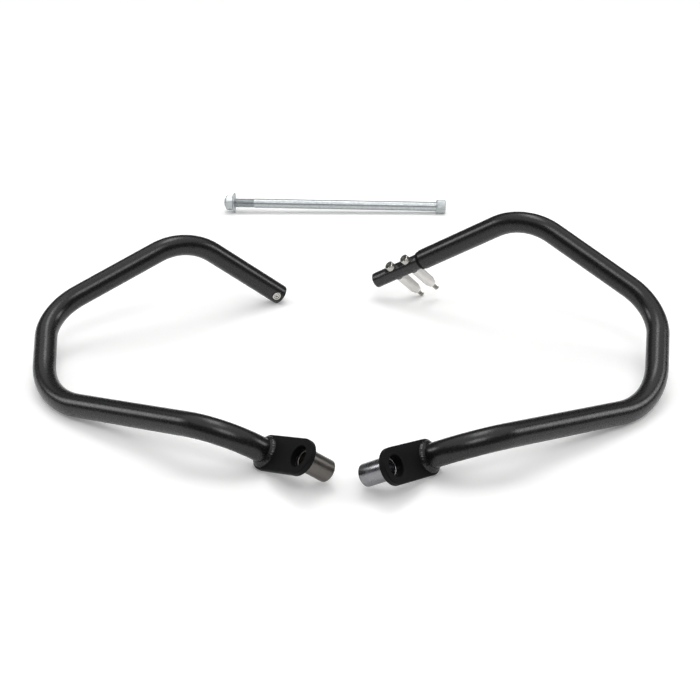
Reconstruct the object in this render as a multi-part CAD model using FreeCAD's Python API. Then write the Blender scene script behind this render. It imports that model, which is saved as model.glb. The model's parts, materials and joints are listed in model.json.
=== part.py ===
import FreeCAD, Part
import math
import os

V = FreeCAD.Vector
X = V(1, 0, 0)
Z = V(0, 0, 1)

# Engine guard kit for a motorbike, laid out on the floor: two mirrored bent bars and the through bolt.
# Sizes are in millimetres.
# Each bar has its own frame: X inboard along the through bolt, Y the way the hoop bulges, Z from the
# lower mount up to the upper mount. Its zero is the centre of the tube's foot on the plate's outer face.

# Guard tube, and the mounting bar that slides into its upper end
tube_d = 22.0
tube_wall = 2.3
socket_clearance = 0.2
tube_bore_d = tube_d - 2 * tube_wall
mount_bar_d = tube_bore_d - 2 * socket_clearance

# Reach of the hoop from the tube's foot
guard_height = 321.5
guard_bulge = 158.0
guard_spread = 121.0
upper_end_x = 95.0
foot_run = 45.0

# Bend points of the tube's centre line: share of the height, and distance inside the hoop's reach
lower_bend_rise = 0.4323
lower_bend_tuck = 3.0
upper_bend_rise = 0.8103
upper_bend_tuck = 9.5
shoulder_spread = 37.0
shoulder_bulge = 21.0
lower_bend_radius = 91.0
upper_bend_radius = 56.0
shoulder_radius = 63.0

# Through bolt and its flange nut
bolt_d = 12.0
bolt_len = 282.0
bolt_point_edge = 1.0
head_ratio = 1.5
bolt_head_d = head_ratio * bolt_d
bolt_head_h = bolt_d
bolt_head_edge = 1.0
bolt_socket_af = 10.0
bolt_socket_depth = bolt_head_h / 2
nut_af = head_ratio * bolt_d
nut_h = bolt_d
nut_crown = 0.4
nut_flange_rim = 4.0
nut_flange_d = nut_af + 2 * nut_flange_rim
nut_flange_h = 3.0
nut_flange_step = 1.5
nut_inset = 2.0

# Lower mount: plate with a recess for the bolt's head, and the spacer behind it that the head bears on
foot_weld_leg = 3.6
foot_land = 0.1
plate_rim = 1.4
plate_w = tube_d + 2 * (foot_weld_leg + plate_rim)
plate_t = 6.0
plate_reach = 50.0
plate_angle = 225.0
plate_edge = 0.8
head_recess_clearance = 0.5
head_recess_d = bolt_head_d + 2 * head_recess_clearance
spacer_land = 0.5
spacer_d = head_recess_d + 2 * spacer_land
bolt_clearance = 0.5
spacer_bore_d = bolt_d + 2 * bolt_clearance
spacer_len = 27.0
spacer_edge = 0.8
spacer_weld_leg = 3.0

# Upper mount of the right bar: cross drilled mounting bar and the collar at the tube's end
mount_bar_free = 66.0
mount_bar_hidden = 22.0
mount_bar_edge = 1.0
collar_wall = 1.7
collar_d = mount_bar_d + 2 * collar_wall
collar_len = 4.0
collar_edge = 1.2

# Its two screws and their sleeves
screw_places = {"outboard": 17.0, "inboard": 38.0}
screw_lean = 9.0
screw_d = 6.0
screw_clearance = 0.3
screw_reach = 48.0
screw_point_edge = 0.75
thread_relief = 0.65
screw_head_land = 2.0
screw_head_d = screw_d + 2 * screw_head_land
screw_head_h = screw_d
screw_head_edge = 0.6
screw_socket_af = 5.0
screw_socket_depth = screw_head_h / 2
seat_depth = 1.0
seat_clearance = 0.5
sleeve_wall = 2.7
sleeve_d = screw_d + 2 * (screw_clearance + sleeve_wall)
sleeve_len = 27.0
sleeve_nose_wall = 1.4
sleeve_nose_draft = 0.8
sleeve_nose_len = 4.0

# Upper end of the left bar: threaded bush and set screw that lock the mounting bar
clamp_from_end = 8.0
clamp_angle = 262.0
set_screw_d = 6.0
bush_wall = 1.5
bush_d = set_screw_d + 2 * bush_wall
bush_stand = 0.4
set_screw_sunk = 0.5
set_screw_socket_af = 3.0
set_screw_socket_depth = 1.4

# How the pieces lie: rough downward direction, heading of the inboard axis and place of the foot
left_down = V(0.64, 0.736, -0.221)
right_down = V(0.575, 0.761, -0.3)
left_heading = 21.5
right_heading = 153.3
left_foot_at = (-73.0, -218.0)
right_foot_at = (67.6, -227.0)
bolt_mid_at = (-26.0, 398.0)
bolt_heading = -0.8

# Fineness of the points that find the floor, rounds of levelling, and how flat an edge counts as flat
touch_tolerance = 0.04
level_rounds = 25
flat_tolerance = 0.001


def cylinder(radius, length, base, axis):
    return Part.makeCylinder(radius, length, base, axis)


def hexagon(across_flats, length, base, axis, side):
    """Six-sided prism that grows from base along axis, with one flat facing side."""
    out = axis.cross(side)
    corner = across_flats / math.sqrt(3)
    points = []
    for step in range(7):
        turn = math.radians(60 * step + 30)
        points.append(base + side * (corner * math.cos(turn)) + out * (corner * math.sin(turn)))
    face = Part.Face(Part.makePolygon(points))
    return face.extrude(axis * length)


def across(angle):
    """Direction square to the bar's inboard axis, measured from the bulge towards the top."""
    turn = math.radians(angle)
    return V(0, math.cos(turn), math.sin(turn))


def end_rim(shape, point, axis):
    """Round edges of a shape that lie in the plane through point, square to axis."""
    rims = []
    for edge in shape.Edges:
        flat = all(abs((vertex.Point - point).dot(axis)) < flat_tolerance for vertex in edge.Vertexes)
        if flat and len(edge.Vertexes) == 1:
            rims.append(edge)
    return rims


def half_turn(corners, place):
    """Half the angle that the path turns by at a corner, and the directions back and ahead."""
    back = (corners[place - 1] - corners[place]).normalize()
    ahead = (corners[place + 1] - corners[place]).normalize()
    return (math.pi - back.getAngle(ahead)) / 2, back, ahead


def rounded_path(corners, radii):
    """Straight runs joined by tangent arcs."""
    edges = []
    start = corners[0]
    for place, radius in enumerate(radii, 1):
        half, back, ahead = half_turn(corners, place)
        cut = radius * math.tan(half)
        first = corners[place] + back * cut
        last = corners[place] + ahead * cut
        middle_line = (back + ahead).normalize()
        top = corners[place] + middle_line * (math.hypot(radius, cut) - radius)
        edges.append(Part.LineSegment(start, first).toShape())
        edges.append(Part.Arc(first, top, last).toShape())
        start = last
    edges.append(Part.LineSegment(start, corners[-1]).toShape())
    return Part.Wire(edges)


def tube_corners():
    return [
        V(0, 0, 0),
        V(-foot_run, 0, 0),
        V(lower_bend_tuck - guard_spread, guard_bulge, lower_bend_rise * guard_height),
        V(-guard_spread, guard_bulge - upper_bend_tuck, upper_bend_rise * guard_height),
        V(-shoulder_spread, shoulder_bulge, guard_height),
        V(upper_end_x, shoulder_bulge, guard_height),
    ]


def bend_radii(corners):
    """Radius of each bend. The first bend starts just past the weld bead at the foot."""
    straight = foot_weld_leg + foot_land
    foot_radius = (foot_run - straight) / math.tan(half_turn(corners, 1)[0])
    return [foot_radius, lower_bend_radius, upper_bend_radius, shoulder_radius]


def swept(path, start, direction, radius):
    ring = Part.Wire([Part.Circle(start, direction, radius).toShape()])
    return path.makePipeShell([ring], True, False)


def guard_tube():
    corners = tube_corners()
    path = rounded_path(corners, bend_radii(corners))
    outer = swept(path, corners[0], X * -1, tube_d / 2)
    inner = swept(path, corners[0], X * -1, tube_bore_d / 2)
    return outer.cut(inner)


def mount_plate():
    """Round-ended plate: the tube's foot at one end, the recess for the bolt's head at the other."""
    way = across(plate_angle)
    side = X.cross(way)
    half = plate_w / 2
    foot = V(0, 0, 0)
    hole = way * plate_reach
    outline = Part.Wire([
        Part.LineSegment(foot + side * half, hole + side * half).toShape(),
        Part.Arc(hole + side * half, hole + way * half, hole - side * half).toShape(),
        Part.LineSegment(hole - side * half, foot - side * half).toShape(),
        Part.Arc(foot - side * half, foot - way * half, foot + side * half).toShape(),
    ])
    plate = Part.Face(outline).extrude(X * plate_t)
    rims = [edge for edge in plate.Edges if edge.BoundBox.XLength < flat_tolerance]
    plate = plate.makeChamfer(plate_edge, rims)
    return plate.cut(cylinder(head_recess_d / 2, plate_t, hole, X))


def frame_spacer():
    base = across(plate_angle) * plate_reach + X * plate_t
    spacer = cylinder(spacer_d / 2, spacer_len, base, X)
    spacer = spacer.makeChamfer(spacer_edge, end_rim(spacer, base + X * spacer_len, X))
    return spacer.cut(cylinder(spacer_bore_d / 2, spacer_len, base, X))


def weld_ring(radius, leg, base, axis):
    """Three-sided fillet round a tube, standing on the face at base and growing along axis."""
    cone = Part.makeCone(radius + leg, radius, leg, base, axis)
    return cone.cut(cylinder(radius, leg, base, axis))


def lower_mount():
    hole = across(plate_angle) * plate_reach
    return {
        "guard_tube": guard_tube(),
        "mount_plate": mount_plate(),
        "frame_spacer": frame_spacer(),
        "tube_weld": weld_ring(tube_d / 2, foot_weld_leg, V(0, 0, 0), X * -1),
        "spacer_weld": weld_ring(spacer_d / 2, spacer_weld_leg, hole + X * plate_t, X),
    }


def left_bar():
    """The bar whose open upper end takes the mounting bar and clamps it with a set screw."""
    nodes = lower_mount()
    way = across(clamp_angle)
    centre = tube_corners()[-1] - X * clamp_from_end
    top = tube_d / 2 + bush_stand
    bore = cylinder(tube_bore_d / 2, tube_d, centre - X * (tube_d / 2), X)
    nodes["guard_tube"] = nodes["guard_tube"].cut(cylinder(bush_d / 2, tube_d, centre, way))
    bush = cylinder(bush_d / 2, top, centre, way).cut(bore)
    nodes["clamp_bush"] = bush.cut(cylinder(set_screw_d / 2, top, centre, way))
    screw = cylinder(set_screw_d / 2, top - set_screw_sunk, centre, way).cut(bore)
    face = centre + way * (top - set_screw_sunk)
    socket = hexagon(set_screw_socket_af, set_screw_socket_depth, face, way * -1, X)
    nodes["clamp_screw"] = screw.cut(socket)
    return nodes


def right_bar():
    """The bar that carries the mounting bar with its two screws and sleeves."""
    nodes = lower_mount()
    end = tube_corners()[-1]
    radius = mount_bar_d / 2
    rod = cylinder(radius, mount_bar_hidden + mount_bar_free, end - X * mount_bar_hidden, X)
    rod = rod.makeChamfer(mount_bar_edge, end_rim(rod, end + X * mount_bar_free, X))
    collar = cylinder(collar_d / 2, collar_len, end, X)
    collar = collar.makeChamfer(collar_edge, end_rim(collar, end + X * collar_len, X))
    nodes["bar_collar"] = collar.cut(cylinder(radius, collar_len, end, X))
    way = across(screw_lean)
    seat = radius - seat_depth
    for name, place in screw_places.items():
        centre = end + X * place
        head_seat = cylinder(screw_head_d / 2 + seat_clearance, radius, centre - way * seat, way * -1)
        sleeve_seat = cylinder(sleeve_d / 2 + seat_clearance, radius, centre + way * seat, way)
        hole = cylinder(screw_d / 2 + screw_clearance, mount_bar_d, centre - way * radius, way)
        rod = rod.cut(head_seat).cut(sleeve_seat).cut(hole)
        nodes["mount_screw_" + name] = mount_screw(centre, way, seat)
        nodes["mount_sleeve_" + name] = mount_sleeve(centre + way * seat, way)
    nodes["mount_bar"] = rod
    return nodes


def mount_screw(centre, way, seat):
    """Socket screw with its head on the seat and its point at the screw's reach."""
    under_head = centre - way * seat
    top = under_head - way * screw_head_h
    head = cylinder(screw_head_d / 2, screw_head_h, top, way)
    head = head.makeChamfer(screw_head_edge, end_rim(head, top, way))
    grip = 2 * seat + sleeve_len + sleeve_nose_len
    shank = cylinder(screw_d / 2, grip, under_head, way)
    thread_radius = (screw_d - thread_relief) / 2
    thread = cylinder(thread_radius, seat + screw_reach - grip, under_head + way * grip, way)
    thread = thread.makeChamfer(screw_point_edge, end_rim(thread, centre + way * screw_reach, way))
    socket = hexagon(screw_socket_af, screw_socket_depth, top, way, X)
    return head.fuse(shank).fuse(thread).removeSplitter().cut(socket)


def mount_sleeve(base, way):
    """Plain sleeve with a narrower nose that grips the screw."""
    body = cylinder(sleeve_d / 2, sleeve_len, base, way)
    body = body.cut(cylinder(screw_d / 2 + screw_clearance, sleeve_len, base, way))
    nose_at = base + way * sleeve_len
    nose_radius = screw_d / 2 + sleeve_nose_wall
    nose = Part.makeCone(nose_radius + sleeve_nose_draft, nose_radius, sleeve_nose_len, nose_at, way)
    nose = nose.cut(cylinder(screw_d / 2, sleeve_nose_len, nose_at, way))
    return body.fuse(nose)


def through_bolt():
    """Bolt along X with its head at the positive end, and the nut near the other end."""
    half = bolt_len / 2
    under_head = X * half
    point = X * -half
    top = under_head + X * bolt_head_h
    head = cylinder(bolt_head_d / 2, bolt_head_h, under_head, X)
    head = head.makeChamfer(bolt_head_edge, end_rim(head, top, X))
    shank = cylinder(bolt_d / 2, bolt_len, point, X)
    shank = shank.makeChamfer(bolt_point_edge, end_rim(shank, point, X))
    socket = hexagon(bolt_socket_af, bolt_socket_depth, top, X * -1, Z)
    return {
        "through_bolt": head.fuse(shank).removeSplitter().cut(socket),
        "flange_nut": flange_nut(point + X * nut_inset),
    }


def flange_nut(outside):
    """Nut along X whose crowned hexagon starts at outside and whose flange is at its other end."""
    hexed = hexagon(nut_af, nut_h - nut_flange_h, outside, X, Z)
    crown = Part.makeCone(nut_af / 2 - nut_crown, nut_af / 2 + nut_h, nut_h + nut_crown, outside, X)
    flange_at = outside + X * (nut_h - nut_flange_h)
    rim_h = nut_flange_h / 2
    flange = Part.makeCone(nut_af / 2 + nut_flange_step, nut_flange_d / 2, rim_h, flange_at, X)
    rim = cylinder(nut_flange_d / 2, rim_h, flange_at + X * rim_h, X)
    nut = hexed.common(crown).fuse(flange).fuse(rim)
    return nut.cut(cylinder(bolt_d / 2, nut_h, outside, X)).removeSplitter()


def mirrored(nodes):
    return {name: shape.mirror(V(0, 0, 0), X) for name, shape in nodes.items()}


def points_of(shapes, keep=None):
    points = []
    for shape in shapes:
        points.extend(shape.tessellate(touch_tolerance)[0])
    return [point for point in points if keep is None or keep(point)]


def lying(feet, down, inboard, heading):
    """Turn that sets the lowest point of each foot on one level, with the inboard axis at a heading."""
    turn = FreeCAD.Rotation(down, Z * -1)
    for _ in range(level_rounds):
        low = []
        for foot in feet:
            low.append(min((turn.multVec(point) for point in foot), key=lambda point: point.z))
        level = (low[1] - low[0]).cross(low[2] - low[0])
        if level.z < 0:
            level = level * -1
        turn = FreeCAD.Rotation(level, Z).multiply(turn)
    ahead = turn.multVec(inboard)
    swing = heading - math.degrees(math.atan2(ahead.y, ahead.x))
    return FreeCAD.Rotation(Z, swing).multiply(turn)


def bar_turn(nodes, upper_feet, side, down, heading):
    """Resting turn of one bar: lower mount, upper end and the back of the hoop are its feet."""
    lower = points_of([nodes["mount_plate"], nodes["frame_spacer"]])
    hoop = points_of([nodes["guard_tube"]], lambda point: point.y > guard_bulge / 2)
    flipped = V(down.x * side, down.y, down.z)
    return lying([lower, upper_feet, hoop], flipped, X * side, heading)


def bolt_turn(nodes):
    """Resting turn of the bolt, which lies on the rims of its head and of the nut's flange."""
    head = points_of([nodes["through_bolt"]], lambda point: point.x > bolt_len / 2)
    head_low = min(head, key=lambda point: point.z)
    nut_low = min(points_of([nodes["flange_nut"]]), key=lambda point: point.z)
    slope = math.degrees(math.atan2(head_low.z - nut_low.z, head_low.x - nut_low.x))
    return FreeCAD.Rotation(Z, bolt_heading).multiply(FreeCAD.Rotation(V(0, 1, 0), slope))


def settled(nodes, turn, at):
    """Nodes turned, set at a place on the floor and lowered on to it."""
    low = min(turn.multVec(point).z for point in points_of(nodes.values()))
    place = FreeCAD.Placement(V(at[0], at[1], -low), turn)
    placed = {}
    for name, shape in nodes.items():
        moved = shape.copy()
        moved.Placement = place.multiply(moved.Placement)
        placed[name] = moved
    return placed


def centred(nodes):
    """Nodes moved so that the origin is the middle of the bottom of the whole layout."""
    points = points_of(nodes.values())
    low = [min(point[i] for point in points) for i in range(3)]
    high = [max(point[i] for point in points) for i in range(3)]
    shift = V(-(low[0] + high[0]) / 2, -(low[1] + high[1]) / 2, -low[2])
    for shape in nodes.values():
        shape.Placement = FreeCAD.Placement(shift, FreeCAD.Rotation()).multiply(shape.Placement)
    return nodes


def build():
    left = left_bar()
    left_end = points_of([left["guard_tube"]], lambda point: point.x > upper_end_x / 2)
    left_turn = bar_turn(left, left_end, 1, left_down, left_heading)
    right = mirrored(right_bar())
    screws = [right["mount_screw_" + name] for name in screw_places]
    right_turn = bar_turn(right, points_of(screws), -1, right_down, right_heading)
    bolt = through_bolt()
    nodes = {}
    for name, shape in settled(left, left_turn, left_foot_at).items():
        nodes["left_" + name] = shape
    for name, shape in settled(right, right_turn, right_foot_at).items():
        nodes["right_" + name] = shape
    nodes.update(settled(bolt, bolt_turn(bolt), bolt_mid_at))
    return centred(nodes)


os.makedirs("parts", exist_ok=True)
for name, shape in build().items():
    shape.exportStep("parts/" + name + ".step")
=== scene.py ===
import json
import logging
import math
from dataclasses import dataclass, field
from enum import Enum
from typing import Callable

import bpy
import numpy as np
from mathutils import Matrix, Vector


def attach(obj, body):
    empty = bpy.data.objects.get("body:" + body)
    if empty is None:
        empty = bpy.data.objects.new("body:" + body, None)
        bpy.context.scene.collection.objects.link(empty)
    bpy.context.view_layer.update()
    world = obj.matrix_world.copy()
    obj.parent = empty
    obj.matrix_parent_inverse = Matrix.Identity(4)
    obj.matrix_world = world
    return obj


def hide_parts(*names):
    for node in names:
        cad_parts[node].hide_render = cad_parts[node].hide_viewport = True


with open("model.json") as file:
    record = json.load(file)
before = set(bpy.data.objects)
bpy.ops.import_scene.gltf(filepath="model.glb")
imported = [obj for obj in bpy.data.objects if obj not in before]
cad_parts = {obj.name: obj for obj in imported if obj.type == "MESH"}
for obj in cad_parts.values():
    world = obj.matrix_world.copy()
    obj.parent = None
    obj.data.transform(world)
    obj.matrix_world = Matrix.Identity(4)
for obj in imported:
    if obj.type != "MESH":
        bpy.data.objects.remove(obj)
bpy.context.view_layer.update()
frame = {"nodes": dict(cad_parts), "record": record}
log = logging.getLogger("engine_guard")

# Looks of a motorbike engine guard set: two mirrored bent bars with welded mounts, and the long through
# bolt with its flange nut, laid out on a pale floor. Sizes are in millimetres, places in metres.
MM = 0.001
Piece = bpy.types.Object
Profile = list[tuple[float, float]]
# Distance from a head's top, and how far in from its radius, of each ring of its rounded edge
Crown = tuple[tuple[float, float], ...]
# Height, number round the bead and start of each wave
Waves = tuple[tuple[float, int, float], ...]

# Digits of a place in metres that tell points apart
PLACE_DIGITS = 7
# Points this near to the last point of a long node count as its end
END_BAND = 0.1
# Points nearer than this are merged
MERGE_GAP = 0.002
# A point this near to a ring counts as one of its points
RING_GAP = 0.05
# Edges flatter than this many degrees are shaded smooth
SMOOTH_ANGLE = 35.0
HEXAGON = 6
SQUARE = 4
# A socket's cutting shape starts this far outside the head
SOCKET_LEAD = 1.0
# The cone that a drill leaves under a socket, as shares of the socket's corner radius
CONE_HEIGHT = 0.4
CONE_POINT = 0.1
# A thread's depth as a share of its pitch, how steep its flanks are, and the rings for each turn
THREAD_DEPTH = 0.54
FLANK_SLOPE = 2.5
RINGS_PER_TURN = 8
# A noise texture keeps nearly all of its values between these two
NOISE_LOW = 0.3
NOISE_HIGH = 0.7
# Width of one band of a band texture, in the texture's own units
BAND_WIDTH = math.pi / 10.0


class Side(Enum):
    """Which bar of the pair, as seen from the camera."""
    LEFT = "left"
    RIGHT = "right"


class Cut(Enum):
    """What a cutting shape does to a piece."""
    AWAY = "DIFFERENCE"
    COMMON = "INTERSECT"


# Places

@dataclass(frozen=True)
class Spindle:
    """Centre line that a round piece is made on, and the direction of the first point round it."""
    base: Vector
    axis: Vector
    toward: Vector

    def at(self, along: float) -> Vector:
        """Place on the centre line, a distance from the base."""
        return self.base + self.axis * (along * MM)

    def turn(self) -> Matrix:
        """Turn whose third column is the centre line's direction."""
        return Matrix((self.toward, self.axis.cross(self.toward), self.axis)).transposed()

    def around(self, point: Vector) -> tuple[float, float, float]:
        """Distance along the line, distance from it and angle round it of a point.

        Args:
            point: a place in metres.
        Returns:
            Both distances in millimetres, and the angle in radians.
        """
        offset = point - self.base
        along = offset.dot(self.axis)
        ahead = offset.dot(self.toward)
        aside = offset.dot(self.axis.cross(self.toward))
        return along / MM, math.hypot(ahead, aside) / MM, math.atan2(aside, ahead)

    def place(self, along: float, radius: float, angle: float) -> Vector:
        """The point that around() would describe by these three numbers."""
        out = self.toward * math.cos(angle) + self.axis.cross(self.toward) * math.sin(angle)
        return self.at(along) + out * (radius * MM)


@dataclass(frozen=True)
class Axes:
    """Place of a bar's foot, with the directions inboard, of the bulge and up to the upper mount."""
    origin: Vector
    inboard: Vector
    bulge: Vector
    top: Vector

    def at(self, x: float, y: float, z: float) -> Vector:
        """Place of a point that is given in the bar's own directions."""
        return self.origin + (self.inboard * x + self.bulge * y + self.top * z) * MM

    def across(self, degrees: float) -> Vector:
        """Direction square to the inboard one, measured from the bulge towards the top."""
        turn = math.radians(degrees)
        return self.bulge * math.cos(turn) + self.top * math.sin(turn)


def mount(name: str) -> tuple[Vector, Vector]:
    """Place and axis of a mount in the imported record.

    Args:
        name: the mount's name.
    Returns:
        Its place in metres and its axis.
    """
    for row in frame["record"]["mounts"]:
        if row["name"] == name:
            return Vector(row["pos_m"]), Vector(row["axis"]).normalized()
    raise KeyError(name)


def long_ends(node: str) -> tuple[Vector, Vector]:
    """Middle of each end of a long straight node.

    Args:
        node: name of the CAD node.
    Returns:
        The end at the lower X and the end at the higher X, in metres.
    """
    mesh = frame["nodes"][node].data
    points = np.unique(np.round([vertex.co for vertex in mesh.vertices], PLACE_DIGITS), axis=0)
    middle = points.mean(0)
    axis = np.linalg.svd(points - middle, full_matrices=False)[2][0]
    axis = axis * np.sign(axis[0])
    along = (points - middle) @ axis
    near = points[along < along.min() + END_BAND * MM].mean(0)
    far = points[along > along.max() - END_BAND * MM].mean(0)
    return Vector(near), Vector(far)


# Shaping

def choose(piece: Piece) -> None:
    """Make a piece the only selected one.

    Args:
        piece: piece to select.
    """
    bpy.ops.object.select_all(action="DESELECT")
    piece.select_set(True)
    bpy.context.view_layer.objects.active = piece


def ring(name: str, spindle: Spindle, along: float, radius: float, sides: int, filled: bool) -> Piece:
    """Add a circle square to a spindle, with its place in its mesh.

    Args:
        name: name of the new piece.
        spindle: centre line.
        along: distance of the circle from the spindle's base.
        radius: radius of the circle.
        sides: number of its points.
        filled: whether it is a disc.
    Returns:
        The new piece.
    """
    bpy.ops.object.select_all(action="DESELECT")
    bpy.ops.mesh.primitive_circle_add(
        vertices=sides, radius=radius * MM, fill_type="NGON" if filled else "NOTHING",
        location=spindle.at(along), rotation=spindle.turn().to_euler())
    piece = bpy.context.object
    piece.name = name
    piece.data.name = name
    bpy.ops.object.transform_apply(location=True, rotation=True, scale=True)
    return piece


def close_up() -> None:
    """Merge doubled points of the mesh in edit mode and turn its faces outwards."""
    bpy.ops.mesh.select_all(action="SELECT")
    bpy.ops.mesh.remove_doubles(threshold=MERGE_GAP * MM)
    bpy.ops.mesh.normals_make_consistent(inside=False)


def lathe(name: str, spindle: Spindle, profile: Profile, sides: int, bored: bool = False) -> Piece:
    """Draw a ring along a spindle from station to station, as on a lathe.

    Args:
        name: name of the new piece.
        spindle: centre line.
        profile: distance along the line and radius of each station. A bored piece comes back to its first.
        sides: number of points round the piece.
        bored: whether the piece has a hole along its line instead of two discs at its ends.
    Returns:
        The new piece.
    """
    along, radius = profile[0]
    piece = ring(name, spindle, along, radius, sides, not bored)
    bpy.ops.object.mode_set(mode="EDIT")
    for next_along, next_radius in profile[1:]:
        step = spindle.axis * ((next_along - along) * MM)
        bpy.ops.mesh.extrude_region_move(TRANSFORM_OT_translate={"value": step})
        ratio = next_radius / radius
        bpy.ops.transform.resize(value=(ratio, ratio, ratio), center_override=spindle.at(next_along))
        along, radius = next_along, next_radius
    close_up()
    bpy.ops.object.mode_set(mode="OBJECT")
    return piece


def pipe(near: float, far: float, bore: float, radius: float) -> Profile:
    """Profile of a bored cylinder with square ends, for a lathe."""
    return [(near, bore), (near, radius), (far, radius), (far, bore), (near, bore)]


def pick(piece: Piece, wanted: Callable[[Vector], bool]) -> None:
    """Go to edit mode with only those points selected that a test takes.

    Args:
        piece: piece to work on.
        wanted: test of a point's place.
    """
    choose(piece)
    bpy.context.tool_settings.mesh_select_mode = (True, False, False)
    mesh = piece.data
    mesh.polygons.foreach_set("select", [False] * len(mesh.polygons))
    mesh.edges.foreach_set("select", [False] * len(mesh.edges))
    mesh.vertices.foreach_set("select", [wanted(vertex.co) for vertex in mesh.vertices])
    bpy.ops.object.mode_set(mode="EDIT")


def reshape(piece: Piece, move: Callable[[Vector], Vector]) -> None:
    """Move each point of a piece by a rule, for a helix or a rippled bead that no operator gives.

    Args:
        piece: piece to work on.
        move: new place of a point.
    """
    for vertex in piece.data.vertices:
        vertex.co = move(vertex.co)
    piece.data.update()


def copy_moved(piece: Piece, name: str, move: Vector) -> Piece:
    """Copy a piece with its own mesh, and move the copy with its object left at the origin.

    Args:
        piece: piece to copy.
        name: name of the copy.
        move: way from the piece to its copy, in metres.
    Returns:
        The copy.
    """
    choose(piece)
    bpy.ops.object.duplicate(linked=False)
    twin = bpy.context.object
    twin.name = name
    twin.data.name = name
    twin.location = move
    bpy.ops.object.transform_apply(location=True, rotation=True, scale=True)
    return twin


def apply_last(piece: Piece) -> None:
    """Apply the newest modifier of a piece."""
    choose(piece)
    bpy.ops.object.modifier_apply(modifier=piece.modifiers[-1].name)


def cut(piece: Piece, tool: Piece, way: Cut = Cut.AWAY) -> None:
    """Cut a piece with another one, which is used up.

    Args:
        piece: piece to cut.
        tool: cutting shape.
        way: whether the tool's shape is taken away or only the common part is kept.
    """
    modifier = piece.modifiers.new("cut", "BOOLEAN")
    modifier.operation = way.value
    modifier.solver = "EXACT"
    modifier.object = tool
    apply_last(piece)
    bpy.data.objects.remove(tool)


def soften(piece: Piece, width: float, segments: int = 3, angle: float = 40.0) -> None:
    """Round the edges of a piece and shade it smooth, with its flat faces kept flat.

    Args:
        piece: piece to work on.
        width: width of the rounding, or 0 for none.
        segments: faces across a rounded edge.
        angle: edges sharper than this many degrees are rounded.
    """
    if width > 0:
        modifier = piece.modifiers.new("edges", "BEVEL")
        modifier.width = width * MM
        modifier.segments = segments
        modifier.limit_method = "ANGLE"
        modifier.angle_limit = math.radians(angle)
        apply_last(piece)
    choose(piece)
    bpy.ops.object.shade_smooth_by_angle(angle=math.radians(SMOOTH_ANGLE))
    modifier = piece.modifiers.new("shading", "WEIGHTED_NORMAL")
    modifier.keep_sharp = True
    apply_last(piece)


def knurl(piece: Piece, spindle: Spindle, stations: tuple[float, ...], radius: float, sides: int,
          depth: float) -> None:
    """Press every second point of a head's rings inwards, which gives straight grip ridges.

    Args:
        piece: piece to work on.
        spindle: its centre line.
        stations: distance of each ring along the line.
        radius: radius of the rings.
        sides: points round the piece.
        depth: depth of the grooves.
    """
    ratio = 1.0 - depth / radius
    for station in stations:
        def in_groove(point: Vector) -> bool:
            """Whether a point is on this ring and in a groove.

            Args:
                point: a point of the piece.
            Returns:
                True for a point to press in.
            """
            along, out, angle = spindle.around(point)
            number = round(angle * sides / math.tau)
            return abs(along - station) < RING_GAP and abs(out - radius) < RING_GAP and number % 2 == 1
        pick(piece, in_groove)
        bpy.ops.transform.resize(value=(ratio, ratio, ratio), center_override=spindle.at(station))
        bpy.ops.object.mode_set(mode="OBJECT")


def hex_socket(spindle: Spindle, top: float, across_flats: float, depth: float) -> Piece:
    """Cutting shape of a hexagon socket with the cone that its drill leaves.

    Args:
        spindle: centre line of the screw.
        top: distance of the head's top along the line.
        across_flats: key size.
        depth: depth of the flats, negative where the socket goes back along the line.
    Returns:
        The cutting shape.
    """
    corner = across_flats / math.sqrt(3.0)
    way = math.copysign(1.0, depth)
    profile = [(top - way * SOCKET_LEAD, corner), (top + depth, corner),
               (top + depth + way * corner * CONE_HEIGHT, corner * CONE_POINT)]
    return lathe("socket_tool", spindle, profile, HEXAGON)


@dataclass(frozen=True)
class Thread:
    """Right-hand thread: where it starts and ends along a line, its crest's radius and its pitch."""
    start: float
    end: float
    radius: float
    pitch: float

    def stations(self) -> Profile:
        """Stations close enough together to carry the thread.

        Returns:
            The stations for a lathe.
        """
        span = self.end - self.start
        count = math.ceil(span / self.pitch * RINGS_PER_TURN)
        return [(self.start + span * step / count, self.radius) for step in range(count + 1)]

    def press(self, piece: Piece, spindle: Spindle) -> None:
        """Press the thread into the stations of a piece that carry it.

        Args:
            piece: piece to work on.
            spindle: its centre line.
        """
        def move(point: Vector) -> Vector:
            """Where the thread puts a point.

            Args:
                point: a point of the piece.
            Returns:
                Its new place.
            """
            along, out, angle = spindle.around(point)
            if not self.start <= along <= self.end or abs(out - self.radius) > RING_GAP:
                return point
            phase = (along / self.pitch - angle / math.tau) % 1.0
            flank = min(1.0, FLANK_SLOPE * (0.5 - abs(phase - 0.5)))
            run_out = min(1.0, (along - self.start) / self.pitch, (self.end - along) / self.pitch)
            depth = THREAD_DEPTH * self.pitch * flank * run_out
            return spindle.place(along, self.radius - depth, angle)

        reshape(piece, move)


# Finishes

def linear(colour: str) -> tuple[float, float, float, float]:
    """Linear colour with full opacity of an sRGB hex value, by the sRGB standard's own numbers.

    Args:
        colour: hex value such as #1d1d1f.
    Returns:
        Red, green, blue and opacity.
    """
    shares = [int(colour[i:i + 2], 16) / 255.0 for i in (1, 3, 5)]
    red, green, blue = [s / 12.92 if s <= 0.04045 else ((s + 0.055) / 1.055) ** 2.4 for s in shares]
    return red, green, blue, 1.0


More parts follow.
